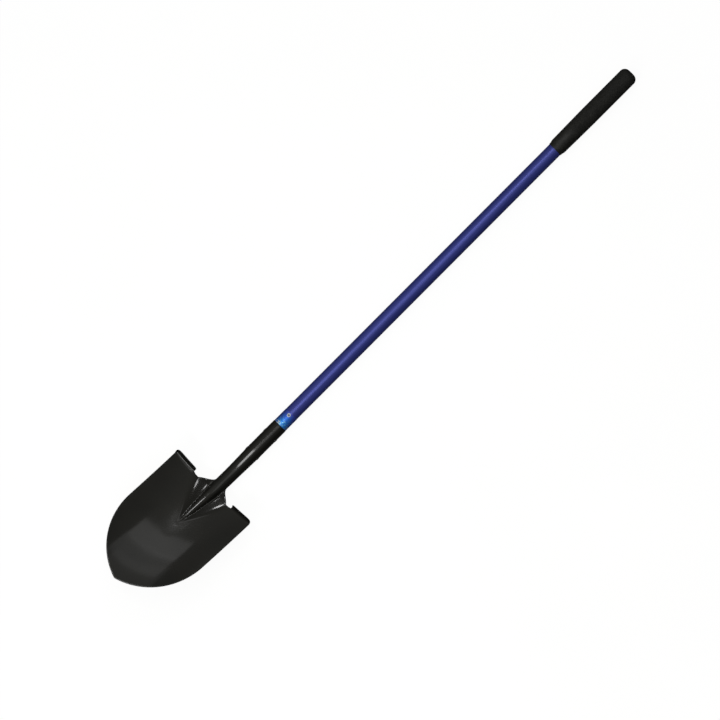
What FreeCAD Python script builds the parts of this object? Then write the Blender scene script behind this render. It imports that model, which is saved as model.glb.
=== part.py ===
import FreeCAD, Part
import math
import os
import Sketcher

# A long-handled round point shovel lying on its back: X runs from the blade's tip to the grip,
# +Z is up out of the hollow of the blade, and the origin is at the middle of the overall length
# on the floor that the grip rests on. Lengths are in millimetres, angles in degrees.
SIZES = [
    ("overall_length", 1550, "tip of the blade to the end of the grip"),
    ("blade_length", 287, "tip of the blade to the line of the steps"),
    ("blade_half_width", 113, "half of the width across the steps"),
    ("blade_sheet", 2, "thickness of the blade's sheet"),
    ("dish_depth", 20, "how far the middle of the blade lies below its rim"),
    ("heel_angle", 8.9, "slope of the middle of the blade at the steps"),
    ("tip_angle", 24.4, "slope of the middle of the blade at the tip"),
    ("rim_angle", 12.9, "slope of the blade's straight rims"),
    ("side_length", 137, "straight part of each side, measured from the steps"),
    ("point_radius", 9, "rounding of the very tip"),
    ("corner_radius", 7, "rounding of the outer corner of a shoulder"),
    ("frog_length", 112, "line of the steps to the point of the frog's V"),
    ("frog_spread", 0.45, "how far a crease of the V moves out for each unit along it"),
    ("frog_slope", 0.5, "how steeply the walls of the V fall towards the middle"),
    ("crease_round", 3, "softness of the pressed creases"),
    ("ridge_radius", 4, "radius of the middle ridge at the point of the V"),
    ("ridge_steep", 0.95, "share of the ridge's radius where its sides turn straight"),
    ("step_height", 12, "how far a turned step stands up from the blade"),
    ("step_inner", 57, "middle of the blade to the inner end of a step"),
    ("step_round", 4.2, "rounding of a step's upper corners"),
    ("notch_inner", 43, "middle of the blade to the inner side of the notch"),
    ("notch_depth", 8.5, "how far the notch beside a step is cut back"),
    ("web_length", 21, "line of the steps to where the web meets the socket"),
    ("web_hollow", 0.42, "how far along the web's edge its deepest hollow lies"),
    ("sheet_margin", 8, "how far the sheet runs past its outline before it is trimmed"),
    ("socket_length", 194, "mouth of the socket to the line of the steps"),
    ("socket_radius", 17.3, "outside radius of the socket around the handle"),
    ("socket_heel_radius", 15.1, "outside radius of the socket where the web ends"),
    ("socket_sheet", 1.6, "thickness of the rolled socket"),
    ("socket_straight", 100, "length of the socket that is in line with the handle"),
    ("seam_width", 1.5, "gap between the rolled edges at the back of the socket"),
    ("seam_closing", 48.5, "end of the web to where the open back has closed to the seam"),
    ("seam_level", 10, "depth below the socket's centre where the open back closes"),
    ("tube_radius", 16.4, "outside radius of the handle"),
    ("tube_bore", 12, "inside radius of the handle"),
    ("tube_socketed", 127, "length of the handle inside the socket"),
    ("tube_foot_radius", 13.4, "outside radius of the handle's lower end"),
    ("core_length", 150, "length of the plug inside the lower end of the handle"),
    ("cap_wall", 5, "thickness of the closed end of the grip"),
    ("end_plug_flange", 2, "thickness of the end plug's rim"),
    ("end_plug_depth", 24, "length of the end plug inside the handle"),
    ("plug_bevel", 2, "bevel on the leading edge of the core and of the end plug"),
    ("slip_gap", 0.05, "gap between pieces that are fitted inside each other"),
    ("socket_gap", 0.25, "gap between the handle and the rolled socket"),
    ("grip_length", 233, "length of the grip"),
    ("grip_radius", 20.5, "outside radius of the grip"),
    ("grip_lip_radius", 17.4, "outside radius of the lip at the grip's mouth"),
    ("grip_lip_length", 4, "length of the lip at the grip's mouth"),
    ("grip_shoulder_radius", 19, "outside radius of the grip just above its lip"),
    ("grip_step_length", 10, "mouth of the grip to where its shoulder starts"),
    ("grip_taper_length", 100, "mouth of the grip to where its radius stops growing"),
    ("grip_end_round", 12, "rounding of the end of the grip"),
    ("label_length", 35, "length of the wrapped label above the socket"),
    ("label_film", 0.25, "thickness of the label"),
    ("rivet_radius", 2.75, "radius of a rivet's shank"),
    ("rivet_head_radius", 4.6, "radius of a rivet's head"),
    ("rivet_head_height", 0.4, "how far a rivet's head stands off the socket"),
    ("rivet_seat", 0.65, "depth of the flat seat under a rivet's head"),
    ("rivet_head_round", 0.3, "rounding of a rivet's head"),
    ("rivet_upper_drop", 30, "mouth of the socket to the upper rivet"),
    ("rivet_lower_drop", 84, "mouth of the socket to the lower rivet"),
]

doc = FreeCAD.newDocument("round_point_shovel")


def make_sheet():
    """The driving dimensions, one named cell each."""
    sheet = doc.addObject("Spreadsheet::Sheet", "Sizes")
    for row, (alias, value, note) in enumerate(SIZES, start=1):
        cell = "B%d" % row
        sheet.set("A%d" % row, note)
        sheet.set(cell, str(value))
        sheet.setAlias(cell, alias)
    doc.recompute()
    return sheet


sheet = make_sheet()


def size(alias):
    return float(sheet.get(alias))


# ---- helpers for the turned pieces -------------------------------------------------------------

def origin_plane(body, role):
    for feature in body.Origin.OriginFeatures:
        if feature.Role == role:
            return feature
    raise ValueError("no origin plane " + role)


def new_body(label, along):
    """A body whose own X axis lies on the handle's axis, starting at `along` from the tip."""
    body = doc.addObject("PartDesign::Body", label)
    body.Label = label
    body.setExpression(".Placement.Base.x", "%s - Sizes.overall_length / 2" % along)
    body.setExpression(".Placement.Base.z", "Sizes.grip_radius")
    return body


def constrain_point(sketch, line, expression, kind, axis):
    """Ties the start of a line to the sheet: on an axis if its expression is 0."""
    if expression == "0":
        sketch.addConstraint(Sketcher.Constraint("PointOnObject", line, 1, axis))
        return
    place = sketch.getPoint(line, 1)
    now = place.x if kind == "DistanceX" else place.y
    index = sketch.addConstraint(Sketcher.Constraint(kind, -1, 1, line, 1, now))
    sketch.renameConstraint(index, "%s_%d" % (kind, line))
    sketch.setExpression("Constraints.%s_%d" % (kind, line), expression)


def outline_sketch(body, name, corners):
    """A closed outline of straight lines; each corner is a pair of sheet expressions."""
    sketch = body.newObject("Sketcher::SketchObject", name)
    sketch.AttachmentSupport = (origin_plane(body, "XY_Plane"), [""])
    sketch.MapMode = "FlatFace"
    points = []
    for across, up in corners:
        point = [float(sketch.evalExpression(text)) for text in (across, up)]
        points.append(FreeCAD.Vector(point[0], point[1], 0))
    count = len(points)
    for index, point in enumerate(points):
        sketch.addGeometry(Part.LineSegment(point, points[(index + 1) % count]), False)
    for index in range(count):
        following = (index + 1) % count
        sketch.addConstraint(Sketcher.Constraint("Coincident", index, 2, following, 1))
    for index, (across, up) in enumerate(corners):
        constrain_point(sketch, index, across, "DistanceX", -2)
        constrain_point(sketch, index, up, "DistanceY", -1)
    return sketch


def turn(body, name, corners, axis="H_Axis"):
    """Revolves an outline about one axis of its sketch."""
    sketch = outline_sketch(body, name + "Outline", corners)
    turned = body.newObject("PartDesign::Revolution", name)
    turned.Profile = sketch
    turned.ReferenceAxis = (sketch, [axis])
    turned.Angle = 360
    doc.recompute()
    return turned


def ring_edges(feature, axis, place):
    """Names of the circular edges whose centre is at `place` along an axis."""
    names = []
    for number, edge in enumerate(feature.Shape.Edges, start=1):
        if isinstance(edge.Curve, Part.Circle):
            if abs(getattr(edge.Curve.Center, axis) - place) < 1e-4:
                names.append((edge.Curve.Radius, "Edge%d" % number))
    return [name for radius, name in sorted(names)]


def cross_hole(body, name, along):
    """A hole for a rivet, right through the body from side to side."""
    before = body.Shape.Volume
    sketch = body.newObject("Sketcher::SketchObject", name + "Outline")
    sketch.AttachmentSupport = (origin_plane(body, "XZ_Plane"), [""])
    sketch.MapMode = "FlatFace"
    centre = FreeCAD.Vector(float(sketch.evalExpression(along)), 0, 0)
    radius = size("rivet_radius") + size("slip_gap")
    sketch.addGeometry(Part.Circle(centre, FreeCAD.Vector(0, 0, 1), radius), False)
    sketch.addConstraint(Sketcher.Constraint("PointOnObject", 0, 3, -1))
    place = sketch.addConstraint(Sketcher.Constraint("DistanceX", -1, 1, 0, 3, centre.x))
    sketch.renameConstraint(place, "place")
    sketch.setExpression("Constraints.place", along)
    bore = sketch.addConstraint(Sketcher.Constraint("Radius", 0, radius))
    sketch.renameConstraint(bore, "bore")
    sketch.setExpression("Constraints.bore", "Sizes.rivet_radius + Sizes.slip_gap")
    pocket = body.newObject("PartDesign::Pocket", name)
    pocket.Profile = sketch
    pocket.Type = "ThroughAll"
    pocket.Midplane = True
    doc.recompute()
    if not body.Shape.Volume < before:
        raise ValueError(name + " cuts nothing")


# ---- the handle and what is fitted to it -------------------------------------------------------

SOCKET_MOUTH = "Sizes.blade_length + Sizes.socket_length"
TUBE_FOOT = SOCKET_MOUTH + " - Sizes.tube_socketed"
GRIP_MOUTH = "Sizes.overall_length - Sizes.grip_length"
TUBE_END = "Sizes.overall_length - Sizes.cap_wall - Sizes.end_plug_flange"
SOCKET_BORE = "(Sizes.socket_radius - Sizes.socket_sheet - Sizes.socket_gap)"


def make_handle_tube():
    """The hollow handle: its lower end is ground down to enter the socket."""
    body = new_body("handle_tube", TUBE_FOOT)
    length = "%s - (%s)" % (TUBE_END, TUBE_FOOT)
    turn(body, "Tube", [
        ("0", "Sizes.tube_bore"),
        ("0", "Sizes.tube_foot_radius"),
        ("Sizes.tube_socketed - Sizes.socket_straight", SOCKET_BORE),
        ("Sizes.tube_socketed", SOCKET_BORE),
        ("Sizes.tube_socketed", "Sizes.tube_radius"),
        (length, "Sizes.tube_radius"),
        (length, "Sizes.tube_bore"),
    ])
    for name in ("upper", "lower"):
        cross_hole(body, "RivetHole" + name, "Sizes.tube_socketed - Sizes.rivet_%s_drop" % name)


def make_socket_core():
    """The plug that backs the tube's wall where the rivets squeeze it."""
    body = new_body("socket_core", TUBE_FOOT)
    radius = "Sizes.tube_bore - Sizes.slip_gap"
    core = turn(body, "Core", [
        ("0", "0"),
        ("0", radius),
        ("Sizes.core_length", radius),
        ("Sizes.core_length", "0"),
    ])
    bevel = body.newObject("PartDesign::Chamfer", "CoreBevel")
    bevel.Base = (core, ring_edges(core, "x", size("core_length")))
    bevel.setExpression("Size", "Sizes.plug_bevel")
    doc.recompute()
    for name in ("upper", "lower"):
        cross_hole(body, "CoreHole" + name, "Sizes.tube_socketed - Sizes.rivet_%s_drop" % name)


def make_rivet(name):
    """A rivet through socket, tube and core, with a low ground head at each side."""
    drop = "Sizes.rivet_%s_drop" % name
    body = new_body("rivet_" + name, "%s - %s" % (SOCKET_MOUTH, drop))
    reach = "(Sizes.socket_radius - Sizes.rivet_seat)"
    top = "Sizes.socket_radius + Sizes.rivet_head_height"
    head = "Sizes.rivet_head_radius"
    shank = "Sizes.rivet_radius"
    rivet = turn(body, "Rivet" + name, [
        ("0", "-(%s)" % top),
        (head, "-(%s)" % top),
        (head, "-" + reach),
        (shank, "-" + reach),
        (shank, reach),
        (head, reach),
        (head, top),
        ("0", top),
    ], "V_Axis")
    outer = size("socket_radius") + size("rivet_head_height")
    rims = [ring_edges(rivet, "y", side * outer)[-1] for side in (-1, 1)]
    dome = body.newObject("PartDesign::Fillet", "HeadRound" + name)
    dome.Base = (rivet, rims)
    dome.setExpression("Radius", "Sizes.rivet_head_round")
    doc.recompute()


def make_end_plug():
    """The moulded plug that closes the handle under the grip."""
    body = new_body("end_plug", TUBE_END + " - Sizes.end_plug_depth")
    barrel = "Sizes.tube_bore - Sizes.slip_gap"
    length = "Sizes.end_plug_depth + Sizes.end_plug_flange"
    plug = turn(body, "EndPlug", [
        ("0", "0"),
        ("0", barrel),
        ("Sizes.end_plug_depth", barrel),
        ("Sizes.end_plug_depth", "Sizes.tube_radius"),
        (length, "Sizes.tube_radius"),
        (length, "0"),
    ])
    bevel = body.newObject("PartDesign::Chamfer", "EndPlugBevel")
    bevel.Base = (plug, ring_edges(plug, "x", 0))
    bevel.setExpression("Size", "Sizes.plug_bevel")
    doc.recompute()


def make_grip():
    """The cushion grip: a lip at its mouth, a slow taper, a plain length and a round end."""
    body = new_body("grip", GRIP_MOUTH)
    bore = "Sizes.tube_radius + Sizes.slip_gap"
    grip = turn(body, "Grip", [
        ("0", bore),
        ("0", "Sizes.grip_lip_radius"),
        ("Sizes.grip_lip_length", "Sizes.grip_lip_radius"),
        ("Sizes.grip_step_length", "Sizes.grip_shoulder_radius"),
        ("Sizes.grip_taper_length", "Sizes.grip_radius"),
        ("Sizes.grip_length", "Sizes.grip_radius"),
        ("Sizes.grip_length", "0"),
        ("Sizes.grip_length - Sizes.cap_wall", "0"),
        ("Sizes.grip_length - Sizes.cap_wall", bore),
    ])
    dome = body.newObject("PartDesign::Fillet", "GripEnd")
    dome.Base = (grip, ring_edges(grip, "x", size("grip_length"))[-1:])
    dome.setExpression("Radius", "Sizes.grip_end_round")
    doc.recompute()


def make_label():
    """A thin printed film wrapped round the handle just above the socket."""
    body = new_body("label", SOCKET_MOUTH)
    inner = "Sizes.tube_radius + Sizes.slip_gap / 2"
    outer = inner + " + Sizes.label_film"
    turn(body, "Label", [
        ("Sizes.slip_gap", inner),
        ("Sizes.slip_gap", outer),
        ("Sizes.label_length", outer),
        ("Sizes.label_length", inner),
    ])


# ---- the pressed head --------------------------------------------------------------------------

class Head:
    """The blade's surfaces. x runs from the tip towards the grip, z is above the handle's axis."""

    def __init__(self):
        self.heel = size("blade_length")
        self.half_width = size("blade_half_width")
        self.dish = size("dish_depth") / self.half_width ** 2
        self.heel_slope = math.tan(math.radians(size("heel_angle")))
        tip_slope = math.tan(math.radians(size("tip_angle")))
        self.bow = (tip_slope - self.heel_slope) / (2 * self.heel)
        self.apex = self.heel - size("frog_length")
        self.web_end = self.heel + size("web_length")
        self.mouth = self.heel + size("socket_length")
        self.bend_start = self.mouth - size("socket_straight")
        self.bend_radius = (self.bend_start - self.heel) / math.radians(size("heel_angle"))
        self.skin = 0.25 * size("blade_sheet")
        self.heel_height = self.socket_centre(self.heel) + self.socket_radius(self.heel)
        self.heel_height += self.skin

    def socket_radius(self, x):
        """Outside radius: full around the handle, less at the web, and less again in the frog."""
        full = size("socket_radius")
        heel = size("socket_heel_radius")
        if x >= self.bend_start:
            return full
        if x >= self.web_end:
            return heel + (full - heel) * (x - self.web_end) / (self.bend_start - self.web_end)
        share = (x - self.apex) / (self.web_end - self.apex)
        return size("ridge_radius") + (heel - size("ridge_radius")) * max(share, 0)

    def socket_centre(self, x):
        """Height of the socket's centre line: straight, then bent up towards the blade."""
        past = max(self.bend_start - x, 0)
        return past ** 2 / (2 * self.bend_radius)

    def crown(self, x):
        """Height of the blade's middle line."""
        out = self.heel - x
        return self.heel_height + self.heel_slope * out + self.bow * out ** 2

    def soft_max(self, one, other, rounding):
        gap = (one - other) / rounding
        return (one + other + rounding * math.sqrt(gap ** 2 + 1)) / 2

    def top(self, x, y):
        """Height of the blade's hollow side: the dish, with the W of the frog pressed into it."""
        dished = self.crown(x) + self.dish * y ** 2
        crease = size("frog_spread") * (x - self.apex)
        reach = abs(y)
        edge = self.crown(x) + self.dish * crease ** 2
        wall = edge - size("frog_slope") * (crease - reach)
        ridge_radius = self.socket_radius(x) + self.skin
        steep = size("ridge_steep")
        round_to = min(reach, steep * ridge_radius)
        slope = steep / math.sqrt(1 - steep ** 2)
        fall = ridge_radius - math.sqrt(ridge_radius ** 2 - round_to ** 2)
        fall += slope * (reach - round_to)
        ridge = self.crown(x) - fall
        rounding = size("crease_round")
        pressed = self.soft_max(wall, ridge, rounding)
        return -self.soft_max(-dished, -pressed, rounding)


def sheet_surface(head, drop, columns=57, rows=61, crowding=0.45):
    """One side of the sheet as a smooth surface through a net of its own heights, whose lines
    are crowded towards the middle, where the frog bends most."""
    margin = size("sheet_margin")
    x_from = -margin
    x_to = head.web_end + margin
    y_to = head.half_width + margin
    net = []
    for column in range(columns):
        x = x_from + (x_to - x_from) * column / (columns - 1)
        line = []
        for row in range(rows):
            share = 2 * row / (rows - 1) - 1
            y = y_to * ((1 - crowding) * share + crowding * share ** 3)
            line.append(FreeCAD.Vector(x, y, head.top(x, y) - drop))
        net.append(line)
    surface = Part.BSplineSurface()
    surface.interpolate(net)
    return surface


def sheet_slab(head):
    """The sheet before it is trimmed: two surfaces joined round their four edges."""
    upper = sheet_surface(head, 0).toShape()
    lower = sheet_surface(head, size("blade_sheet")).toShape()
    walls = []
    for one, other in zip(upper.Edges, lower.Edges):
        walls.append(Part.makeRuledSurface(one, other))
    shell = Part.makeShell([upper, lower] + walls)
    shell.sewShape()
    solid = Part.makeSolid(shell)
    if solid.Volume < 0:
        solid.reverse()
    return solid


def outline_face(head):
    """The blade's outline seen from above, half of it mirrored to make the whole."""
    vector = FreeCAD.Vector
    half = head.half_width
    side_start = head.heel - size("side_length")
    nose = size("point_radius")
    # The edge of the point is an arc that runs tangent into the straight side and into the
    # round nose, whose foremost point is at x = 0.
    centre_y = ((side_start - nose) ** 2 - (half - nose) ** 2) / (2 * (half - nose))
    radius = half + centre_y
    nose_centre = vector(nose, 0, 0)
    centre = vector(side_start, -centre_y, 0)
    to_nose = (nose_centre - centre).normalize()
    meet = centre + to_nose * radius
    tip = vector(nose_centre.x - nose, 0, 0)
    bisector = ((meet - nose_centre).normalize() + vector(-1, 0, 0)).normalize()
    corner = size("corner_radius")
    back = head.heel - size("blade_sheet") / 2
    notch = head.heel - size("notch_depth")
    web_radius = size("socket_heel_radius")
    middle_angle = (math.atan2(to_nose.y, to_nose.x) + math.pi / 2) / 2
    middle = centre + vector(math.cos(middle_angle), math.sin(middle_angle), 0) * radius
    slant = math.sqrt(0.5)
    corner_middle = vector(back - corner * (1 - slant), half - corner * (1 - slant), 0)
    edges = [
        Part.Arc(tip, nose_centre + bisector * nose, meet).toShape(),
        Part.Arc(meet, middle, vector(side_start, half, 0)).toShape(),
        Part.makeLine(vector(side_start, half, 0), vector(back - corner, half, 0)),
        Part.Arc(vector(back - corner, half, 0), corner_middle,
                 vector(back, half - corner, 0)).toShape(),
        Part.makeLine(vector(back, half - corner, 0), vector(back, size("step_inner"), 0)),
        Part.makeLine(vector(back, size("step_inner"), 0),
                      vector(notch, size("step_inner") - size("notch_depth") / 2, 0)),
        Part.makeLine(vector(notch, size("step_inner") - size("notch_depth") / 2, 0),
                      vector(notch, size("notch_inner"), 0)),
        web_curve(vector(notch, size("notch_inner"), 0), vector(head.web_end, web_radius, 0)),
        Part.makeLine(vector(head.web_end, web_radius, 0), vector(head.web_end, 0, 0)),
    ]
    mirror = [edge.mirror(vector(0, 0, 0), vector(0, 1, 0)) for edge in edges]
    wire = Part.Wire(Part.__sortEdges__(edges + mirror))
    return Part.Face(wire)


def web_curve(start, end):
    """The hollow edge that sweeps from the notch up to the side of the socket."""
    hollow = size("web_hollow")
    middle = FreeCAD.Vector(
        start.x + (end.x - start.x) * hollow,
        end.y + (start.y - end.y) * hollow,
        0,
    )
    return Part.Arc(start, middle, end).toShape()


def tube_between(head, thinner, first, last, ring_count=12):
    """A round bar along the socket's centre line, `thinner` than its outside."""
    rings = []
    for number in range(ring_count):
        x = first + (last - first) * number / (ring_count - 1)
        radius = head.socket_radius(x)
        centre = head.socket_centre(x)
        if x < head.web_end:
            centre = head.crown(x) - head.skin - radius
        circle = Part.Circle(FreeCAD.Vector(x, 0, centre), FreeCAD.Vector(1, 0, 0), radius - thinner)
        rings.append(Part.Wire(circle.toShape()))
    return Part.makeLoft(rings, True, False)


def socket_solid(head):
    """The rolled socket: a narrow seam at the back that widens into the open frog."""
    vector = FreeCAD.Vector
    sheet_metal = size("blade_sheet")
    foot = head.heel - 3 * sheet_metal
    start = foot - sheet_metal
    end = head.mouth + sheet_metal
    outer = tube_between(head, 0, foot, head.mouth)
    inner = tube_between(head, size("socket_sheet"), start, end)
    seam = size("seam_width") / 2
    wide = 2 * size("socket_radius")
    open_to = head.web_end + size("seam_closing")
    wedge = [
        vector(start, wide, -wide),
        vector(head.heel, wide, -wide),
        vector(open_to, seam, -wide),
        vector(open_to, -seam, -wide),
        vector(head.heel, -wide, -wide),
        vector(start, -wide, -wide),
    ]
    under = [
        vector(start, -wide, -wide),
        vector(start, -wide, head.socket_centre(foot)),
        vector(head.web_end, -wide, head.socket_centre(head.web_end) - sheet_metal),
        vector(open_to, -wide, -size("seam_level")),
        vector(open_to, -wide, -wide),
    ]
    opening = flat_face(wedge).extrude(vector(0, 0, 2 * wide))
    opening = opening.common(flat_face(under).extrude(vector(0, 2 * wide, 0)))
    slit = Part.makeBox(end - open_to, 2 * seam, wide, vector(open_to, -seam, -wide))
    return outer.cut(inner).cut(opening).cut(slit)


def flat_face(corners):
    return Part.Face(Part.makePolygon(corners + corners[:1]))


def step_solid(head, side, stations=8, rounds=4):
    """One turned step: a flange that follows the dish and has a flat tread. At each station
    its foot is found in a few rounds, each nearer to the sheet, and set into the sheet."""
    vector = FreeCAD.Vector
    sheet_metal = size("blade_sheet")
    lean = math.radians(size("rim_angle"))
    along = vector(math.cos(lean), 0, -math.sin(lean))
    upward = vector(math.sin(lean), 0, math.cos(lean))
    inner = size("step_inner")
    outer = head.half_width - size("corner_radius") / 2
    ground = vector(head.heel, 0, head.top(head.heel, inner))
    root = 1.1 * sheet_metal
    low = []
    high = []
    for number in range(stations):
        y = inner + (outer - inner) * number / (stations - 1)
        base = ground
        for _ in range(rounds):
            rise = (head.top(base.x, y) - base.z) / math.cos(lean)
            base = base + upward * rise
        base = vector(base.x, side * y, base.z)
        low.append(base - upward * root)
        high.append(base + upward * size("step_height"))
    curves = []
    for points in (low, high):
        curve = Part.BSplineCurve()
        curve.interpolate(points)
        curves.append(curve.toShape())
    ends = [Part.makeLine(low[0], high[0]), Part.makeLine(high[-1], low[-1])]
    wire = Part.Wire(Part.__sortEdges__(curves + ends))
    flange = Part.Face(wire).extrude(along * -sheet_metal)
    upper_ends = (high[0], high[-1])
    corners = []
    for edge in flange.Edges:
        start = edge.Vertexes[0].Point
        near = min(start.distanceToPoint(end) for end in upper_ends) < size("step_height") / 4
        if near and abs(edge.Length - sheet_metal) < 1e-6:
            corners.append(edge)
    return flange.makeFillet(size("step_round"), corners)


def rivet_hole(head, solid, x):
    """A hole through both sides of the socket, with a flat seat for each rivet head."""
    vector = FreeCAD.Vector
    wide = 2 * head.half_width
    shank = size("rivet_radius") + size("slip_gap")
    seat = size("rivet_head_radius") + size("slip_gap")
    level = size("socket_radius") - size("rivet_seat")
    cuts = [Part.makeCylinder(shank, wide, vector(x, -wide / 2, 0), vector(0, 1, 0))]
    for side in (-1, 1):
        cuts.append(Part.makeCylinder(seat, wide, vector(x, side * level, 0), vector(0, side, 0)))
    for cut in cuts:
        solid = solid.cut(cut)
    return solid


def make_blade():
    """The head: dished sheet, frog, steps and socket pressed from one piece."""
    head = Head()
    depth = 4 * head.half_width
    prism = outline_face(head)
    prism.translate(FreeCAD.Vector(0, 0, -depth / 2))
    prism = prism.extrude(FreeCAD.Vector(0, 0, depth))
    sheet_metal = sheet_slab(head).common(prism)
    steps = [step_solid(head, side) for side in (-1, 1)]
    solid = sheet_metal.fuse([socket_solid(head)] + steps)
    for name in ("upper", "lower"):
        solid = rivet_hole(head, solid, head.mouth - size("rivet_%s_drop" % name))
    if len(solid.Solids) != 1:
        raise ValueError("the head is in %d pieces" % len(solid.Solids))
    blade = doc.addObject("Part::Feature", "blade")
    blade.Label = "blade"
    blade.Shape = solid.Solids[0]
    blade.Placement.Base = FreeCAD.Vector(-size("overall_length") / 2, 0, size("grip_radius"))


def write_parts():
    """Checks every object and writes one file for each sub-part."""
    doc.recompute()
    for thing in doc.Objects:
        if "Invalid" in thing.State or "Error" in thing.State:
            raise ValueError("%s failed: %s" % (thing.Name, thing.State))
    os.makedirs("parts", exist_ok=True)
    for thing in doc.Objects:
        if thing.TypeId not in ("PartDesign::Body", "Part::Feature"):
            continue
        if thing.Shape.isNull() or not thing.Shape.isValid():
            raise ValueError(thing.Label + " has no valid shape")
        thing.Shape.exportStep("parts/%s.step" % thing.Label)
        box = thing.Shape.BoundBox
        print("%-12s %8.1f mm3  x %.1f..%.1f  y %.1f..%.1f  z %.2f..%.2f" % (
            thing.Label, thing.Shape.Volume, box.XMin, box.XMax, box.YMin, box.YMax,
            box.ZMin, box.ZMax))


make_blade()
make_handle_tube()
make_socket_core()
make_rivet("upper")
make_rivet("lower")
make_end_plug()
make_grip()
make_label()
write_parts()
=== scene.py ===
import math

import bpy
from mathutils import Matrix, Vector


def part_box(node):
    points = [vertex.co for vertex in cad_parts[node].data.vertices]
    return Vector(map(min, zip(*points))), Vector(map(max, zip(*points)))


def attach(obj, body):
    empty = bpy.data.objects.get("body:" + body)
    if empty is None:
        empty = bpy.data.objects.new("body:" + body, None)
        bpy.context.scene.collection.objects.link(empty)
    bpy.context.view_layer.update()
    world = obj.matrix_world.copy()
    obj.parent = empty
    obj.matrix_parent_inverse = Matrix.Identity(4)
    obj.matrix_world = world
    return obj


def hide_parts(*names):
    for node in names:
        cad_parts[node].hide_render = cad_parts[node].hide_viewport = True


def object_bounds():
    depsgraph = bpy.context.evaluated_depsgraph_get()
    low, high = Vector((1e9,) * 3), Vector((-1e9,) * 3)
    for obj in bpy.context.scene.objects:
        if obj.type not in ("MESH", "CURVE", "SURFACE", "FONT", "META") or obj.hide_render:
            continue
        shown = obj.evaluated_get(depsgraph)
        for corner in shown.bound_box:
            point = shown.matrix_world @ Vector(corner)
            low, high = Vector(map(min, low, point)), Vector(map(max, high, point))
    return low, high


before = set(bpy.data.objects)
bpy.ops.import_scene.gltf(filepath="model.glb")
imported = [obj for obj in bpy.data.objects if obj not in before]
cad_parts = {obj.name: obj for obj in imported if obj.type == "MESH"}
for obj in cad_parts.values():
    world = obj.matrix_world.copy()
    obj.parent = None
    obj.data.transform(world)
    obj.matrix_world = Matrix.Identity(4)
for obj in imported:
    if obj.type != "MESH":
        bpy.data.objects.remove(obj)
cad_low, cad_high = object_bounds()

# Lengths are in millimetres and angles in degrees. On the shovel x runs from the blade's tip
# towards the grip, y runs across, and z is the height above the handle's axis.
MM = 0.001
TURN = 2 * math.pi
PLAIN_GRIP = 40.0  # length of the grip from its mouth that has no pebbles
axis_height = sum(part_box("grip"), Vector()).z / 2


def world_point(x, y, z):
    return Vector((cad_low.x + x * MM, y * MM, axis_height + z * MM))


def reach(node):
    """Where a node starts and ends along the handle."""
    low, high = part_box(node)
    return (low.x - cad_low.x) / MM, (high.x - cad_low.x) / MM


def radius_of(node):
    low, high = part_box(node)
    return (high.y - low.y) / 2 / MM


def clamp(value, low=0.0, high=1.0):
    return min(max(value, low), high)


def mix(one, other, share):
    return one + (other - one) * share


def ease(start, end, value):
    """0 before start, 1 after end, and smooth between them."""
    share = clamp((value - start) / (end - start))
    return share * share * (3 - 2 * share)


def spread(start, end, count):
    """count even steps from start, without the end."""
    return [mix(start, end, number / count) for number in range(count)]


def soft_max(one, other, rounding):
    gap = (one - other) / rounding
    return (one + other + rounding * math.sqrt(gap * gap + 1)) / 2


def add_piece(name, points, faces, material, node=None, sharp=40):
    """A mesh piece that rides on the frame, smooth but for the edges sharper than `sharp`."""
    mesh = bpy.data.meshes.new(name)
    mesh.from_pydata(points, [], faces)
    mesh.validate()
    mesh.shade_smooth()
    mesh.set_sharp_from_angle(angle=math.radians(sharp))
    mesh.materials.append(material)
    piece = bpy.data.objects.new(name, mesh)
    bpy.context.scene.collection.objects.link(piece)
    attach(piece, "root")
    if node:
        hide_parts(node)
    return piece


# ---- materials ---------------------------------------------------------------------------------


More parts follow.
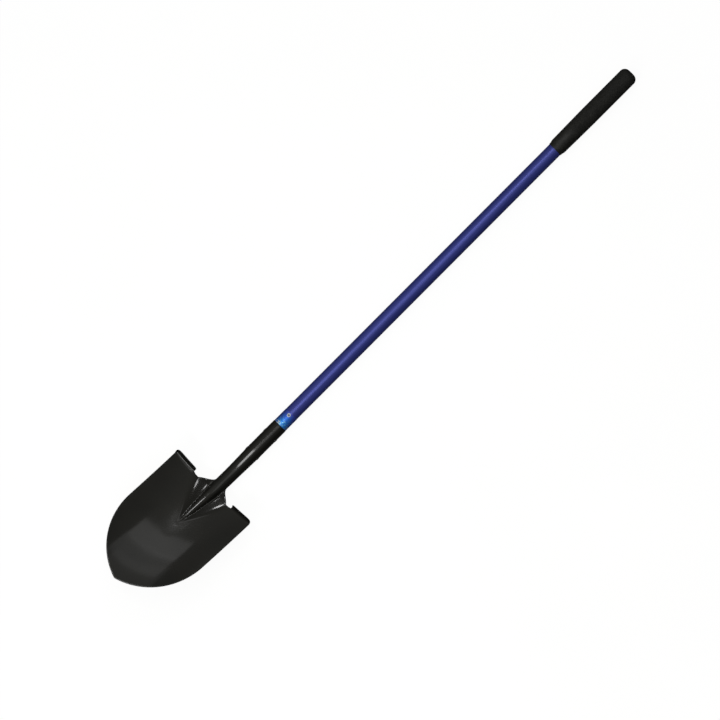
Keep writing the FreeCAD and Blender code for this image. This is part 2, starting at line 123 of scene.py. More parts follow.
class Finish:
    """A material made of nodes around one Principled shader, in the shovel's own coordinates."""

    def __init__(self, name, **fixed):
        self.material = bpy.data.materials.new(name)
        self.material.use_nodes = True
        self.tree = self.material.node_tree
        self.shader = self.tree.nodes["Principled BSDF"]
        for socket, value in fixed.items():
            self.shader.inputs[socket.replace("_", " ")].default_value = value
        self.place = self.node("ShaderNodeTexCoord").outputs["Object"]

    def node(self, kind, inputs=None, **settings):
        made = self.tree.nodes.new(kind)
        for setting, value in settings.items():
            setattr(made, setting, value)
        for socket, value in (inputs or {}).items():
            if isinstance(value, bpy.types.NodeSocket):
                self.tree.links.new(value, made.inputs[socket])
            else:
                made.inputs[socket].default_value = value
        return made

    def stretched(self, along, across):
        """The coordinates scaled along the handle and across it."""
        scale = (along, across, across)
        return self.node("ShaderNodeMapping", {"Vector": self.place, "Scale": scale}).outputs[0]

    def noise(self, scale, detail=3.0, place=None, roughness=0.5):
        inputs = {"Vector": place or self.place, "Scale": scale}
        inputs.update({"Detail": detail, "Roughness": roughness})
        return self.node("ShaderNodeTexNoise", inputs).outputs["Fac"]

    def ramp(self, value, stops):
        """A colour for each place on the ramp."""
        made = self.node("ShaderNodeValToRGB", {"Fac": value})
        keys = made.color_ramp.elements
        while len(keys) < len(stops):
            keys.new(0.5)
        for key, (place, colour) in zip(keys, stops):
            key.position = place
            key.color = (*colour, 1)
        return made.outputs["Color"]

    def blend(self, share, one, other, kind="MIX"):
        inputs = {"Factor": share, 6: one, 7: other}
        return self.node("ShaderNodeMix", inputs, data_type="RGBA", blend_type=kind).outputs[2]

    def between(self, value, low, high, start=0.3, end=0.7):
        """value from start to end turned into a number from low to high."""
        inputs = {"Value": value, "From Min": start, "From Max": end, "To Min": low, "To Max": high}
        return self.node("ShaderNodeMapRange", inputs).outputs["Result"]

    def maths(self, operation, one, other=0.0):
        return self.node("ShaderNodeMath", {0: one, 1: other}, operation=operation).outputs[0]

    def bump(self, height, depth, under=None):
        """Bumps `depth` millimetres deep."""
        inputs = {"Height": height, "Distance": depth * MM}
        if under:
            inputs["Normal"] = under
        return self.node("ShaderNodeBump", inputs).outputs["Normal"]

    def set(self, **linked):
        for socket, source in linked.items():
            self.tree.links.new(source, self.shader.inputs[socket.replace("_", " ")])
        return self.material


def coated_steel():
    """Semi-gloss black coating: slight orange peel, ripples of the pressing, dusty variation."""
    finish = Finish("coated_steel", Specular_IOR_Level=0.08, Coat_Weight=0.8, Coat_Roughness=0.08)
    cloud = finish.noise(14, 4)
    fleck = finish.noise(900, 2)
    tint = finish.ramp(cloud, [(0.3, (0.0045, 0.0045, 0.004)), (0.7, (0.0095, 0.0088, 0.007))])
    dust = finish.ramp(fleck, [(0.62, (0.0, 0.0, 0.0)), (0.8, (0.012, 0.012, 0.012))])
    colour = finish.blend(1.0, tint, dust, "ADD")
    rough = finish.between(finish.noise(35, 5, roughness=0.65), 0.16, 0.24)
    ripple = finish.bump(finish.noise(9, 2), 0.35)
    peel = finish.bump(finish.noise(420, 2), 0.0025, under=ripple)
    return finish.set(Base_Color=colour, Roughness=rough, Normal=peel, Coat_Normal=peel)


def fibreglass():
    """Blue resin over fine lengthwise glass fibres, which throw light back in their colour."""
    finish = Finish("fibreglass", Metallic=0.42, Coat_Weight=0.2, Coat_Roughness=0.3)
    strands = finish.noise(1, 3, finish.stretched(9, 1500), 0.7)
    bands = finish.noise(1, 3, finish.stretched(5, 160))
    base = finish.ramp(bands, [(0.3, (0.045, 0.06, 0.36)), (0.7, (0.058, 0.076, 0.42))])
    thread = finish.ramp(strands, [(0.35, (0.75, 0.75, 0.8)), (0.7, (1.15, 1.15, 1.1))])
    colour = finish.blend(1.0, base, thread, "MULTIPLY")
    rough = finish.between(strands, 0.26, 0.42)
    grain = finish.bump(strands, 0.01)
    wave = finish.bump(finish.noise(1, 1, finish.stretched(12, 90)), 0.05, under=grain)
    return finish.set(Base_Color=colour, Roughness=rough, Normal=wave)


def grip_rubber():
    """Black cushion vinyl: smooth and a little glossy at its mouth, matt where it is pebbled."""
    finish = Finish("grip_rubber", Specular_IOR_Level=0.4)
    parts = finish.node("ShaderNodeSeparateXYZ", {"Vector": finish.place}).outputs
    mouth = world_point(reach("grip")[0], 0, 0).x
    pebbled = mouth + PLAIN_GRIP * MM
    run_in = 25 * MM
    upper = finish.between(parts["X"], 0, 0.28, pebbled, pebbled + run_in)
    cloud = finish.noise(60, 4)
    base = finish.ramp(cloud, [(0.3, (0.006, 0.006, 0.0055)), (0.7, (0.011, 0.0108, 0.0096))])
    grain = finish.ramp(finish.noise(420, 2), [(0.4, (0.45, 0.45, 0.45)), (0.62, (1.9, 1.9, 1.85))])
    colour = finish.blend(1.0, base, grain, "MULTIPLY")
    worn = finish.between(finish.noise(140, 4), 0.42, 0.56)
    skin = finish.bump(finish.noise(1400, 3), 0.06)
    return finish.set(Base_Color=colour, Roughness=finish.maths("ADD", worn, upper), Normal=skin)


def label_film(start, end):
    """Glossy foil: bright blue with light flecks at its foot, deeper further up, and painted shade
    towards its sides.
    """
    finish = Finish("label_film", Metallic=0.36, Coat_Weight=0.4, Coat_Roughness=0.1)
    parts = finish.node("ShaderNodeSeparateXYZ", {"Vector": finish.place}).outputs
    first = world_point(start, 0, 0).x
    last = world_point(end, 0, 0).x
    along = finish.between(parts["X"], 0, 1, first, last)
    ripple = finish.between(finish.noise(110, 3), -0.2, 0.2)
    place = finish.maths("ADD", along, ripple)
    shade = finish.ramp(place, [
        (0.1, (0.015, 0.3, 0.95)), (0.5, (0.012, 0.2, 0.9)), (0.92, (0.06, 0.085, 0.6))])
    fleck = finish.maths("MULTIPLY", finish.between(finish.noise(230, 2), 0, 1, 0.52, 0.66),
                         finish.between(along, 1, 0, 0.2, 0.6))
    bright = finish.blend(fleck, shade, (0.3, 0.75, 0.95, 1))
    # painted shade: the foil turns navy towards the sides of the tube, where the round surface turns
    # away from the light
    off_middle = finish.maths("ABSOLUTE", finish.maths("ADD", parts["Y"], 2 * MM))
    side = finish.between(off_middle, 0, 0.88, 6 * MM, 15 * MM)
    colour = finish.blend(side, bright, (0.03, 0.06, 0.36, 1))
    return finish.set(Base_Color=colour, Roughness=finish.between(finish.noise(300, 2), 0.25, 0.4))


def label_print(name, dark, light):
    """A printed part of the label, in cloudy tones between dark and light."""
    finish = Finish(name, Coat_Weight=0.3, Coat_Roughness=0.15)
    colour = finish.ramp(finish.noise(260, 3), [(0.35, dark), (0.7, light)])
    return finish.set(Base_Color=colour, Roughness=finish.between(finish.noise(300, 2), 0.3, 0.45))


def core_wood():
    """Turned hardwood with lengthwise grain."""
    finish = Finish("core_wood")
    grain = finish.noise(1, 5, finish.stretched(14, 420), 0.65)
    colour = finish.ramp(grain, [(0.3, (0.36, 0.22, 0.11)), (0.72, (0.62, 0.46, 0.27))])
    rough = finish.between(grain, 0.5, 0.75)
    return finish.set(Base_Color=colour, Roughness=rough, Normal=finish.bump(grain, 0.05))


def plug_plastic():
    """Matt black moulded plastic with a fine grain."""
    finish = Finish("plug_plastic")
    cloud = finish.noise(90, 3)
    colour = finish.ramp(cloud, [(0.3, (0.02, 0.02, 0.021)), (0.7, (0.035, 0.035, 0.036))])
    rough = finish.between(finish.noise(500, 3), 0.4, 0.55)
    return finish.set(Base_Color=colour, Roughness=rough, Normal=finish.bump(finish.noise(1500), 0.02))


# ---- the blade: one pressed sheet --------------------------------------------------------------

HALF_WIDTH = radius_of("blade")
MOUTH = reach("blade")[1]
HEEL = 287.0  # tip of the blade to the line of the steps
SHEET = 2.0
SOCKET_SHEET = 1.6
RIM = 0.9  # how far the rounded rim of the sheet bulges
EDGE = RIM + 0.3  # room for the rim, and for the sheet's lean there
HAIR = 0.01  # keeps the rim inside the frame's box
DISH_DEPTH = 20.0
DISH = DISH_DEPTH / HALF_WIDTH ** 2
HEEL_ANGLE = math.radians(8.9)  # between the handle and the blade's middle line at the heel
TIP_ANGLE = math.radians(24.4)
HEEL_SLOPE = math.tan(HEEL_ANGLE)
TIP_SLOPE = math.tan(TIP_ANGLE)
BOW = (TIP_SLOPE - HEEL_SLOPE) / (2 * HEEL)
APEX = HEEL - 112  # the point of the frog's V
WEB_END = HEEL + 21  # past here the sheet is rolled into the socket
BEND_START = MOUTH - 100  # the socket is straight from here on; the neck is an arc before it
BEND_RADIUS = (BEND_START - HEEL) / HEEL_ANGLE
TAPER_START = WEB_END + 7
TAPER_END = BEND_START + 29
CROWN_START = HEEL - 60  # from here the blade's middle line runs into the top of the socket
CROWN_END = BEND_START - 10
SOCKET_RADIUS = 17.3
HEEL_RADIUS = 15.1
RIDGE_RADIUS = 4.0
SKIN = 0.5  # how much the ridge's radius exceeds the socket's, until the socket is straight
FROG_SPREAD = 0.45  # how fast the frog's outer creases part
FROG_SLOPE = 0.5  # how steep its outer walls are
CREASE_POINT = 1.0  # rounding of the creases at the point of the V
CREASE_ROUND = 3.0  # their rounding from CREASE_RUN past the point
CREASE_RUN = 80.0
STEEP = 0.95  # share of the ridge's radius past which its sides run straight
SIDE_START = HEEL - 137  # the point's arcs run into the straight sides here
NOSE = 9.0
NOTCH_FLOOR = HEEL - 8.5
NOTCH_INNER = 43.0  # where the floor of the notch starts and ends across the blade
NOTCH_OUTER = 49.0
WEB_EDGE = NOTCH_INNER - RIM
WEB_SLANT = 1.15  # how fast the web narrows towards the socket
WEB_ROUND = 4.0
ROLL_START = NOTCH_FLOOR + 3  # the web turns into the roll from here to ROLL_END
ROLL_END = WEB_END + 9
WRAP_START = WEB_END - 4  # the roll closes round the handle from here to WRAP_END
WRAP_END = WEB_END + 48
SEAM_HALF = 0.75  # half of the gap along the back of the socket
STEP_INNER = 57.0
STEP_HEIGHT = 12.0
STEP_LEAN = math.radians(12.9)
STEP_ROUND = 5.0  # rounding of a step's inner end
STEP_TAPER = 97.0  # where a step starts to run out towards the corner
STEP_BEND = 9.0  # inside radius of the bend under a step
STEP_LEAST = 0.06  # share of the step that is left at the corner
TONGUE_HEIGHT = 0.35  # the low swelling that leads into the point of the V
TONGUE_START = APEX - 42
TONGUE_TOP = APEX + 4
TONGUE_END = HEEL + 20
TONGUE_WIDTH = 13.0
CORNER = 5.0  # rounding of the outer corner of a shoulder, seen from above


def socket_radius(x):
    if x >= WEB_END:
        return mix(HEEL_RADIUS, SOCKET_RADIUS, ease(TAPER_START, TAPER_END, x))
    return mix(RIDGE_RADIUS, HEEL_RADIUS, max(x - APEX, 0) / (WEB_END - APEX))


def socket_centre(x):
    return max(BEND_START - x, 0) ** 2 / (2 * BEND_RADIUS)


def roll_radius(x):
    """Outside radius of the ridge and of the roll that it runs on into."""
    return socket_radius(x) + SKIN * (1 - ease(WEB_END, BEND_START, x))


def crown(x):
    """Height of the blade's middle line, which runs on into the top of the socket."""
    heel_height = socket_centre(HEEL) + socket_radius(HEEL) + SKIN
    out = HEEL - x
    blade = heel_height + HEEL_SLOPE * out + BOW * out ** 2
    return mix(blade, socket_centre(x) + roll_radius(x), ease(CROWN_START, CROWN_END, x))


def pressing(x, across):
    """The dish with the W of the frog pressed into it, measured from the middle line."""
    crease = FROG_SPREAD * (x - APEX)
    wall = DISH * crease ** 2 - FROG_SLOPE * (crease - across)
    radius = socket_radius(x) + SKIN
    near = min(across, STEEP * radius)
    slope = STEEP / math.sqrt(1 - STEEP ** 2)
    fall = radius - math.sqrt(radius ** 2 - near ** 2) + slope * (across - near)
    rounding = mix(CREASE_POINT, CREASE_ROUND, ease(APEX, APEX + CREASE_RUN, x))
    pressed = soft_max(wall, -fall, rounding)
    return -soft_max(-DISH * across ** 2, -pressed, rounding)


def top(x, y):
    """Height of the blade's hollow side, with its ridge kept level with the middle line."""
    ridge = -pressing(x, 0) * math.exp(-(y / (socket_radius(x) + SKIN)) ** 2)
    along = ease(TONGUE_START, TONGUE_TOP, x) * (1 - ease(TONGUE_TOP, TONGUE_END, x))
    swell = TONGUE_HEIGHT * along * math.exp(-(y / TONGUE_WIDTH) ** 2)
    return crown(x) + pressing(x, abs(y)) + ridge + swell


def point_edge(y):
    """Where the rim of the point lies: a long arc on each side that meets a small round nose."""
    centre_y = ((SIDE_START - NOSE) ** 2 - (HALF_WIDTH - NOSE) ** 2) / (2 * (HALF_WIDTH - NOSE))
    meet = (NOSE - EDGE) * centre_y / math.hypot(SIDE_START - NOSE, centre_y)
    if abs(y) < meet:
        return NOSE - math.sqrt((NOSE - EDGE) ** 2 - y ** 2)
    radius = HALF_WIDTH + centre_y - EDGE
    return SIDE_START - math.sqrt(max(radius ** 2 - (abs(y) + centre_y) ** 2, 0))


def tread_base(y):
    """Where the blade meets the front of the step's flange."""
    ground = top(HEEL, STEP_INNER)
    x = HEEL
    for _ in range(4):  # enough rounds for x to settle
        x = HEEL + ((top(x, y) - ground) * math.sin(STEP_LEAN) - SHEET) / math.cos(STEP_LEAN)
    inset = clamp(abs(y) - (HALF_WIDTH - EDGE - CORNER), 0, CORNER)
    return x - CORNER + math.sqrt(CORNER ** 2 - inset ** 2)


def step_size(y):
    """How much of the full bend a step has at y, and how far its flange stands up."""
    run_out = clamp((abs(y) - STEP_TAPER) / (HALF_WIDTH - STEP_TAPER))
    share = max(math.sqrt(1 - run_out ** 2), STEP_LEAST)
    inward = clamp(STEP_INNER + STEP_ROUND - abs(y), 0, STEP_ROUND)
    height = STEP_HEIGHT - STEP_ROUND + math.sqrt(STEP_ROUND ** 2 - inward ** 2)
    return share, height


def step_path(y, turns=8, rises=5):
    """The bend and the flange of a step at y, from the blade up to the flange's edge."""
    share, height = step_size(y)
    base = tread_base(y)
    start_angle = math.atan((top(base, y) - top(base - 1, y)))
    end_angle = math.pi / 2 - STEP_LEAN
    radius = STEP_BEND * share * height / STEP_HEIGHT
    setback = radius * math.tan((end_angle - start_angle) / 2)
    start_x = base - setback * math.cos(start_angle)
    start_z = top(start_x, y)
    path = []
    for number in range(1, turns + 1):
        angle = mix(start_angle, end_angle, number / turns)
        path.append((start_x + radius * (math.sin(angle) - math.sin(start_angle)),
                     start_z + radius * (math.cos(start_angle) - math.cos(angle))))
    corner_x, corner_z = path[-1]
    rise = height * share - setback
    for number in range(1, rises + 1):
        up = rise * number / rises
        path.append((corner_x + up * math.sin(STEP_LEAN), corner_z + up * math.cos(STEP_LEAN)))
    return start_x, path


def back_edge(y):
    """Where the flat of the blade stops: the floor of the notch, its side, or a step's bend."""
    if abs(y) <= NOTCH_OUTER:
        return NOTCH_FLOOR
    if abs(y) >= STEP_INNER:
        return step_path(y)[0]
    rise = ease(NOTCH_OUTER, STEP_INNER, abs(y))
    return mix(NOTCH_FLOOR, step_path(STEP_INNER)[0], rise)


def web_half_width(x):
    """The web narrows from the notch to the side of the socket."""
    line = WEB_EDGE - WEB_SLANT * (x - NOTCH_FLOOR)
    return soft_max(line, HEEL_RADIUS + SKIN, WEB_ROUND)


def wrap_angle(x):
    """How far the sheet is rolled round the socket on each side."""
    closed = math.pi - (SEAM_HALF + RIM) / SOCKET_RADIUS
    return mix(math.pi / 2, closed, ease(WRAP_START, WRAP_END, x))


def neck_point(x, share):
    """The web and the socket: share runs from -1 at one edge of the sheet to 1 at the other."""
    radius = roll_radius(x)
    centre = crown(x) - radius
    angle = share * wrap_angle(x)
    rolled = Vector((x, radius * math.sin(angle), centre + radius * math.cos(angle)))
    y = share * web_half_width(x)
    flat = Vector((x, y, top(x, y)))
    return flat.lerp(rolled, ease(ROLL_START, ROLL_END, x))


def blade_columns():
    """The places across the blade where its grid has points: closer at the ridge and the side."""
    ridge = 15.0
    side = HALF_WIDTH - EDGE
    step_full = STEP_INNER + STEP_ROUND
    last = 10
    half = spread(0, ridge, 15) + spread(ridge, WEB_EDGE, 12)
    half += spread(WEB_EDGE, STEP_INNER, 8)
    half += spread(STEP_INNER, step_full, 6)
    half += spread(step_full, STEP_TAPER, 14)
    half += [mix(STEP_TAPER, side, math.sin(math.pi / 2 * number / last)) for number in range(last + 1)]
    return [-y for y in reversed(half[1:])] + half


def blade_sheet():
    """The hollow side of the whole head as one grid of points: blade, web, socket and steps."""
    points = []
    faces = []
    columns = blade_columns()
    rows = 130
    grid = {}

    def add(column, row, place):
        grid[column, row] = len(points)
        points.append(place)

    for column, y in enumerate(columns):
        start = point_edge(y)
        end = back_edge(y)
        for row in range(rows + 1):
            x = mix(start, end, row / rows)
            add(column, row, Vector((x, y, top(x, y))))
    web = [column for column, y in enumerate(columns) if abs(y) <= WEB_EDGE + HAIR]
    rolled = WEB_END + 4
    mouth = MOUTH - RIM
    neck = spread(NOTCH_FLOOR, rolled, 22) + spread(rolled, mouth, 70) + [mouth]
    for column in web:
        share = columns[column] / WEB_EDGE
        for number, x in enumerate(neck[1:]):
            add(column, rows + 1 + number, neck_point(x, share))
    for column, y in enumerate(columns):
        if abs(y) >= STEP_INNER - HAIR:
            for number, (x, z) in enumerate(step_path(y)[1]):
                add(column, rows + 1 + number, Vector((x, y, z)))
    for column, row in grid:
        corners = [(column, row), (column, row + 1), (column + 1, row + 1), (column + 1, row)]
        if all(corner in grid for corner in corners):
            faces.append([grid[corner] for corner in corners])
    return points, faces


def thicken(points, faces, thickness):
    """Adds the back of a sheet and a rounded rim round its edge."""
    normals = [Vector() for _ in points]
    sides = {}  # keeps the faces' order
    for face in faces:
        a, b, c, d = (points[index] for index in face)
        normal = (c - a).cross(d - b)
        for index, other in zip(face, face[1:] + face[:1]):
            normals[index] += normal
            sides[index, other] = True
    normals = [normal.normalized() for normal in normals]
    turned = sum(normal.z for normal in normals) < 0
    if turned:
        normals = [-normal for normal in normals]
    count = len(points)
    back = [place - normal * thickness(place.x) for place, normal in zip(points, normals)]
    all_points = list(points) + back
    all_faces = [list(face) for face in faces]
    all_faces += [[index + count for index in reversed(face)] for face in faces]
    following = {one: other for one, other in sides if (other, one) not in sides}
    leading = {other: one for one, other in following.items()}
    steps = 5
    rims = {}
    for index in following:
        edge = (points[following[index]] - points[leading[index]]).normalized()
        outward = edge.cross(normals[index]).normalized() * (-1 if turned else 1)
        thick = thickness(points[index].x)
        rim = [index]
        for number in range(1, steps):
            angle = math.pi * number / steps
            place = points[index] - normals[index] * thick * (1 - math.cos(angle)) / 2
            rim.append(len(all_points))
            all_points.append(place + outward * RIM * math.sin(angle))
        rim.append(index + count)
        rims[index] = rim
    for index, other in following.items():
        for number in range(steps):
            all_faces.append([rims[other][number], rims[index][number],
                              rims[index][number + 1], rims[other][number + 1]])
    if turned:
        all_faces = [list(reversed(face)) for face in all_faces]
    return all_points, all_faces


def sheet_thickness(x):
    return mix(SHEET, SOCKET_SHEET, ease(HEEL, WEB_END, x))


def make_blade(material):
    points, faces = thicken(*blade_sheet(), sheet_thickness)
    side = HALF_WIDTH - HAIR
    placed = [world_point(max(x, HAIR), clamp(y, -side, side), z) for x, y, z in points]
    return add_piece("head_shell", placed, faces, material, "blade", sharp=60)


# ---- turned pieces -----------------------------------------------------------------------------


def rounded(corners, steps=5):
    """A profile with its corners rounded: each corner is (along, radius, rounding)."""
    profile = []
    for number, (along, out, rounding) in enumerate(corners):
        corner = Vector((along, out))
        if not rounding or number in (0, len(corners) - 1):
            profile.append(corner)
            continue
        before = (Vector(corners[number - 1][:2]) - corner).normalized()
        after = (Vector(corners[number + 1][:2]) - corner).normalized()
        half = before.angle(after) / 2
        reach_back = rounding / math.tan(half)
        centre = corner + (before + after).normalized() * rounding / math.sin(half)
        first = corner + before * reach_back - centre
        last = corner + after * reach_back - centre
        sweep = first.angle_signed(last)
        for step in range(steps + 1):
            angle = -sweep * step / steps
            turned = Matrix.Rotation(angle, 2) @ first
            profile.append(centre + turned)
    return profile


def turned_mesh(profile, segments, relief=None):
    """Points and faces of a closed profile turned about the handle's axis."""
    points = []
    faces = []
    for along, out in profile:
        for number in range(segments):
            angle = TURN * number / segments
            radius = out + (relief(along, angle, out) if relief else 0)
            points.append((along, radius * math.sin(angle), radius * math.cos(angle)))
    rings = len(profile)
    for ring in range(rings):
        after = (ring + 1) % rings
        for number in range(segments):
            beside = (number + 1) % segments
            faces.append([ring * segments + number, ring * segments + beside,
                          after * segments + beside, after * segments + number])
    return points, faces


def divided(profile, longest):
    """The same profile with its long runs split into short ones."""
    result = [profile[0]]
    for one, other in zip(profile, profile[1:]):
        count = max(1, math.ceil((other - one).length / longest))
        result += [one.lerp(other, number / count) for number in range(1, count + 1)]
    return result


def turned_piece(name, profile, segments, material, node, relief=None):
    points, faces = turned_mesh(profile, segments, relief)
    placed = [world_point(*point) for point in points]
    return add_piece(name, placed, faces, material, node)


def make_handle(material):
    """The hollow shaft, ground down where it enters the socket, with slight waves in its skin."""
    foot, end = reach("handle_tube")
    radius = radius_of("handle_tube")
    bore = 12.0
    lead = 13.3  # the foot is tapered to go in easily
    inside = SOCKET_RADIUS - SOCKET_SHEET - 0.3
    mouth = MOUTH + 0.2
    wave = 0.01

    def waves(along, angle, out):
        if out < radius - 0.5 or along < mouth:
            return 0
        ripple = math.sin(7 * angle + along / 60) + math.sin(11 * angle - along / 95)
        return -wave * (2 + ripple)

    outside = rounded([
        (foot, bore, 0), (foot, lead, 0.6), (BEND_START + 30, inside, 5), (mouth, inside, 0.2),
        (mouth, radius, 0.4), (end, radius, 0.5), (end, bore, 0)])
    return turned_piece("handle_shaft", divided(outside, 9), 96, material,
                        "handle_tube", waves)


def make_grip(material):
    """The cushion grip: square lip, slow taper, staggered pebbles above, and a domed end."""
    mouth, end = reach("grip")
    radius = radius_of("grip")
    bore = radius_of("handle_tube") + 0.05
    lip = 17.4
    shoulder = 19.0
    cap = 5.0
    pole = 0.05  # the end closes to this radius
    pebbles = 26
    pitch = 5.0
    depth = 0.7
    textured = mouth + PLAIN_GRIP
    dome = end - 10

    def relief(along, angle, out):
        if out < bore + 1 or along < textured or along > dome:
            return 0
        fade = ease(textured, textured + 70, along) * (1 - ease(dome - 6, dome, along))
        bumps = math.cos(pebbles * angle) * math.cos(TURN * along / pitch)
        return -depth * fade * (0.5 - 0.5 * bumps)

    outline = rounded([
        (mouth, bore, 0), (mouth, lip, 0.5), (mouth + 4, lip, 0.8), (mouth + 10, shoulder, 6),
        (mouth + 100, radius, 60), (end, radius, 14), (end, pole, 0), (end - cap, pole, 0),
        (end - cap, bore, 0.5)], 8)
    return turned_piece("cushion_grip", divided(outline, 0.8), 180, material,
                        "grip", relief)


def curved_patch(name, x, side, outline, radius, material):
    """A thin printed patch on the label. outline gives rings of (along, around) round its
    middle, which lies at x and `side` millimetres round from the top."""
    count = len(outline[0])
    above = 0.06
    below = -0.1
    points = []
    for lift in (above, below):
        for ring in outline:
            for along, around in ring:
                angle = (side + around) / radius
                out = radius + lift
                points.append(world_point(x + along, out * math.sin(angle), out * math.cos(angle)))
    rings = len(outline)
    faces = []
    order = list(range(rings)) + list(range(2 * rings - 1, rings - 1, -1))
    for one, other in zip(order, order[1:] + order[:1]):
        for number in range(count):
            beside = (number + 1) % count
            faces.append([one * count + number, one * count + beside,
                          other * count + beside, other * count + number])
    return add_piece(name, points, faces, material)


def ellipse(along, around, count=32):
    turns = spread(0, TURN, count)
    return [(along * math.cos(angle), around * math.sin(angle)) for angle in turns]


def make_label(film, pale, dark):
    """The film, a pale band part-way round its foot, and a plain round mark near its top."""
    start, end = reach("label")
    inner = radius_of("handle_tube") + 0.03
    outer = radius_of("label")
    sleeve = rounded([(start, inner, 0), (start, outer, 0.1), (end, outer, 0.1), (end, inner, 0)])
    turned_piece("label_wrap", divided(sleeve, 3), 96, film, "label")
    curved_patch("label_band", start + 3.2, 5, [ellipse(3, 10), ellipse(0.6, 2)], outer, pale)
    mark = start + 29
    curved_patch("label_ring", mark, -1, [ellipse(4.2, 4.2), ellipse(1.9, 1.9)], outer, pale)
    curved_patch("label_dot", mark, -1, [ellipse(1.8, 1.8), ellipse(0.3, 0.3)], outer, dark)


def make_rivet(name, material):
    """A rivet that crosses the socket, with a low dome at each side."""
    x = sum(reach(name)) / 2
    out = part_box(name)[1].y / MM - 0.22
    seat = SOCKET_RADIUS - 0.65
    shank = 2.7
    head = 4.6
    top_edge = 4.5
    pole = 0.05
    profile = rounded([
        (-out, 0, 0), (-out, top_edge, 0.4), (-seat, head, 0), (-seat, shank, 0),
        (seat, shank, 0), (seat, head, 0), (out, top_edge, 0.4), (out, 0, 0)])
    profile = [Vector((along, max(radius, pole))) for along, radius in profile]
    points, faces = turned_mesh(profile, 40)
    placed = [world_point(x + side, along, up) for along, side, up in points]
    add_piece(name + "_pin", placed, faces, material, name)


# ---- camera, light and floor -------------------------------------------------------------------


def make_camera():
    """The photograph's view: from above, leaning 11 degrees to one side of the handle."""
    roll = math.radians(11)
    tilt = math.radians(45.094)
    lens = 800.0
    sensor = 36.0
    view_width = 1545.84 * MM
    middle = -73.3 * MM
    aside = 22.47 * MM
    across = Vector((0, -math.cos(roll), -math.sin(roll)))
    along = Vector((1, 0, 0))
    back = Vector((0, -math.sin(roll), math.cos(roll)))
    right = along * math.cos(tilt) + across * math.sin(tilt)
    up = along * math.sin(tilt) - across * math.cos(tilt)
    target = Vector((middle, 0, axis_height)) + across * aside
    distance = view_width * lens / sensor
    data = bpy.data.cameras.new("camera")
    data.lens = lens
    data.sensor_width = sensor
    data.clip_start = 1
    data.clip_end = 100
    camera = bpy.data.objects.new("camera", data)
    bpy.context.scene.collection.objects.link(camera)
    turn = Matrix((right, up, back)).transposed().to_4x4()
    camera.matrix_world = Matrix.Translation(target + back * distance) @ turn
    bpy.context.scene.camera = camera


def far_light(name, direction, angle, brightness):
    """A round soft light far away: `angle` is how wide it looks, in degrees."""
    data = bpy.data.lights.new(name, "SUN")
    data.angle = math.radians(angle)
    data.energy = brightness * math.pi * math.radians(angle / 2) ** 2
    light = bpy.data.objects.new(name, data)
    bpy.context.scene.collection.objects.link(light)
    light.rotation_euler = Vector(direction).to_track_quat("Z", "Y").to_euler()


def soft_box(name, aim, direction, size, brightness):
    """A rectangle of soft light that looks at aim from the given direction."""
    distance = 2.6
    data = bpy.data.lights.new(name, "AREA")
    data.shape = "RECTANGLE"
    data.size, data.size_y = size
    data.energy = brightness * math.pi * size[0] * size[1]
    light = bpy.data.objects.new(name, data)
    bpy.context.scene.collection.objects.link(light)
    way = Vector(direction).normalized()
    side = Vector((0, 1, 0)).cross(way).normalized()
    up = way.cross(side)
    turn = Matrix((up, -side, way)).transposed().to_4x4()
    light.matrix_world = Matrix.Translation(aim + way * distance) @ turn


def make_lights():
    """Soft light from above, and a light for each bright patch and line on the head."""
    blade = world_point(140, 0, 45)
    crest = world_point(238, 0, 32)
    neck = world_point(381, 0, 17)
    soft_box("dish_box", blade, (0.552, 0.2, 0.787), (1.6, 0.2), 0.76)
    soft_box("dish_fill", blade, (0.642, 0.2, 0.787), (1.6, 0.22), 0.42)
    soft_box("point_box", blade, (0.74, 0.25, 0.62), (1.5, 0.9), 0.2)
    soft_box("crest_strip", crest, (0.4, 0.19, 0.895), (0.45, 0.15), 14)
    soft_box("neck_strip", neck, (-0.045, 0.05, 0.99), (1.3, 0.16), 9)
    soft_box("step_strip", blade, (-0.5, -0.3, 0.81), (1.4, 0.35), 8)
    far_light("key", (0, -0.15, 0.99), 34, 0.45)
    far_light("left_crease", (0.431, 0.780, 0.454), 4, 20)
    far_light("right_crease", (0.505, -0.5, 0.703), 4, 12)
    make_world()


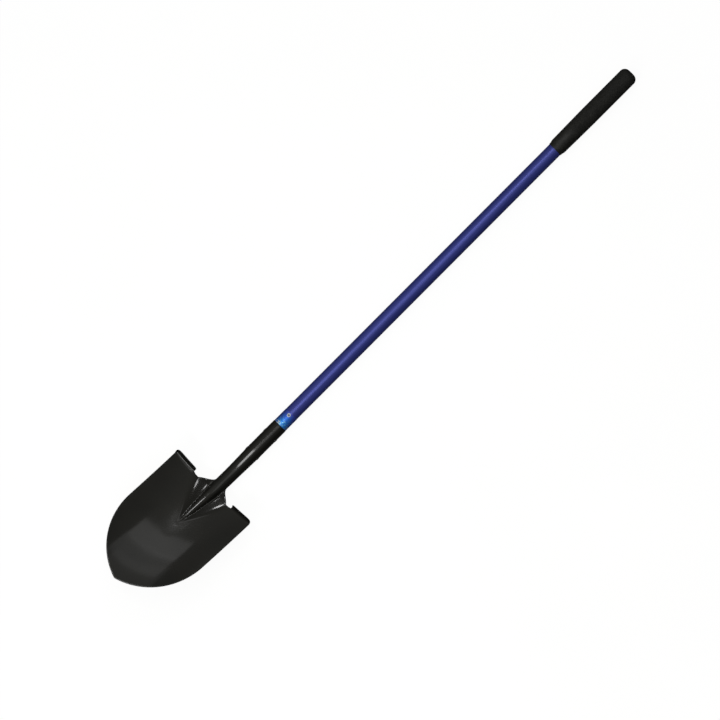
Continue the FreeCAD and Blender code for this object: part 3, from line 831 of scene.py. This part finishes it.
def make_world():
    """A grey studio, darker towards the floor."""
    world = bpy.data.worlds.new("studio")
    bpy.context.scene.world = world
    world.use_nodes = True
    tree = world.node_tree
    place = tree.nodes.new("ShaderNodeTexCoord")
    across = tree.nodes.new("ShaderNodeVectorMath")
    ramp = tree.nodes.new("ShaderNodeValToRGB")
    across.operation = "DOT_PRODUCT"
    across.inputs[1].default_value = (0, 0.2, 0.98)
    tree.links.new(place.outputs["Generated"], across.inputs[0])
    tree.links.new(across.outputs["Value"], ramp.inputs[0])
    tree.links.new(ramp.outputs[0], tree.nodes["Background"].inputs[0])
    keys = ramp.color_ramp.elements
    warmth = 0.92
    lowest = 0.05
    highest = 0.45
    for height, level in ((0.3, 0.12), (0.6, 0.21), (0.8, 0.3), (0.9, 0.4)):
        keys.new(height).color = (level, level, warmth * level, 1)
    keys[0].color = (lowest, lowest, warmth * lowest, 1)
    keys[-1].color = (highest, highest, warmth * highest, 1)


def make_floor():
    """A wide pale floor that lights itself, so that only a faint shadow lies on it."""
    finish = Finish("floor", Roughness=1.0, IOR=1.0)
    cloud = finish.noise(3, 2)
    colour = finish.ramp(cloud, [(0.3, (0.12, 0.12, 0.12)), (0.7, (0.13, 0.13, 0.13))])
    finish.shader.inputs["Emission Color"].default_value = (1, 1, 1, 1)
    finish.shader.inputs["Emission Strength"].default_value = 0.932
    finish.set(Base_Color=colour)
    half = 30.0
    gap = 0.2 * MM
    mesh = bpy.data.meshes.new("floor")
    corners = [(-half, -half, 0), (half, -half, 0), (half, half, 0), (-half, half, 0)]
    mesh.from_pydata(corners, [], [range(4)])
    mesh.materials.append(finish.material)
    floor = bpy.data.objects.new("floor", mesh)
    bpy.context.scene.collection.objects.link(floor)
    floor.location.z = cad_low.z - gap
    floor.visible_glossy = False
    floor.visible_diffuse = False


def main():
    steel = coated_steel()
    make_blade(steel)
    make_handle(fibreglass())
    make_grip(grip_rubber())
    pale = label_print("label_pale", (0.5, 0.55, 0.62), (0.85, 0.88, 0.9))
    dark = label_print("label_dark", (0.01, 0.012, 0.03), (0.03, 0.03, 0.06))
    make_label(label_film(*reach("label")), pale, dark)
    for name in ("rivet_upper", "rivet_lower"):
        make_rivet(name, steel)
    for name, material in (("socket_core", core_wood()), ("end_plug", plug_plastic())):
        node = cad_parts[name]
        node.data.materials.clear()
        node.data.materials.append(material)
    make_camera()
    make_lights()
    make_floor()
    bpy.context.scene.view_settings.view_transform = "Standard"


main()
